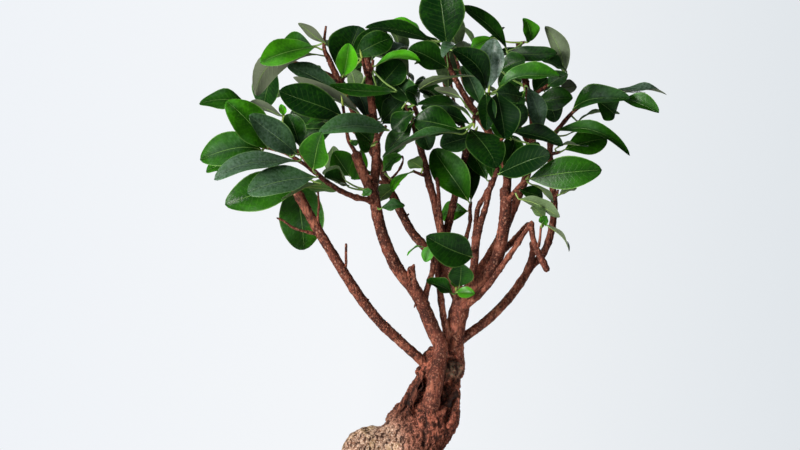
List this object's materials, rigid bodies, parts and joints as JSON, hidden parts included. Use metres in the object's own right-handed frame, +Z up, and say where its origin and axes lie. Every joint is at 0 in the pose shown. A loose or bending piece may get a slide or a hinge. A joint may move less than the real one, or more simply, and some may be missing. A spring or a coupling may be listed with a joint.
{
  "type": "potted ginseng ficus",
  "caption": "Small ginseng ficus with swollen aerial roots, slender ascending limbs and glossy oval leaves, in a plain tapered pot.",
  "frame": {"origin": "centre of the pot's flat underside", "axes": "+Z up, out of the pot towards the crown; the picture's viewer stands on the -Y side; +X to the viewer's right"},
  "size_m": [0.2954, 0.1841, 0.4739],
  "materials": {
    "pot": "smooth white",
    "soil": "matt crumbly potting soil",
    "bark": "rough grey-brown bark, reddish on the limbs",
    "leaf": "thick leaves, semi-gloss above and matt below"
  },
  "bodies": {
    "root": {"pot": "pot", "shoot_back_fan_end": "leaf", "shoot_back_fan_side": "leaf", "shoot_back_high_end": "leaf", "shoot_back_high_side": "leaf", "shoot_back_left_end": "leaf", "shoot_back_left_side": "leaf", "shoot_back_middle_end": "leaf", "shoot_back_middle_side": "leaf", "shoot_back_right_side": "leaf", "shoot_back_top_end": "leaf", "shoot_back_top_side": "leaf", "shoot_bow_low": "leaf", "shoot_bow_side": "leaf", "shoot_centre": "leaf", "shoot_centre_left": "leaf", "shoot_crown": "leaf", "shoot_crown_left": "leaf", "shoot_dark_end": "leaf", "shoot_fan_leaf": "leaf", "shoot_fan_low": "leaf", "shoot_fan_right_top": "leaf", "shoot_fan_top": "leaf", "shoot_far_left": "leaf", "shoot_far_right": "leaf", "shoot_fork_tip": "leaf", "shoot_front_low": "leaf", "shoot_front_small": "leaf", "shoot_hanging": "leaf", "shoot_leader_front": "leaf", "shoot_leader_left": "leaf", "shoot_leader_mid": "leaf", "shoot_leader_right": "leaf", "shoot_left_end": "leaf", "shoot_left_front": "leaf", "shoot_left_low": "leaf", "shoot_low_crown": "leaf", "shoot_mid_left": "leaf", "shoot_right_big": "leaf", "shoot_right_inner": "leaf", "shoot_right_low": "leaf", "shoot_right_small": "leaf", "shoot_screen": "leaf", "shoot_shade_arch": "leaf", "shoot_shade_front": "leaf", "shoot_shade_left": "leaf", "shoot_shade_right": "leaf", "shoot_shade_top": "leaf", "shoot_sprout": "leaf", "shoot_top": "leaf", "shoot_upper_left": "leaf", "shoot_upper_left_back": "leaf", "shoot_upper_mid": "leaf", "soil": "soil", "trunk": "bark"}
  },
  "joints": []
}
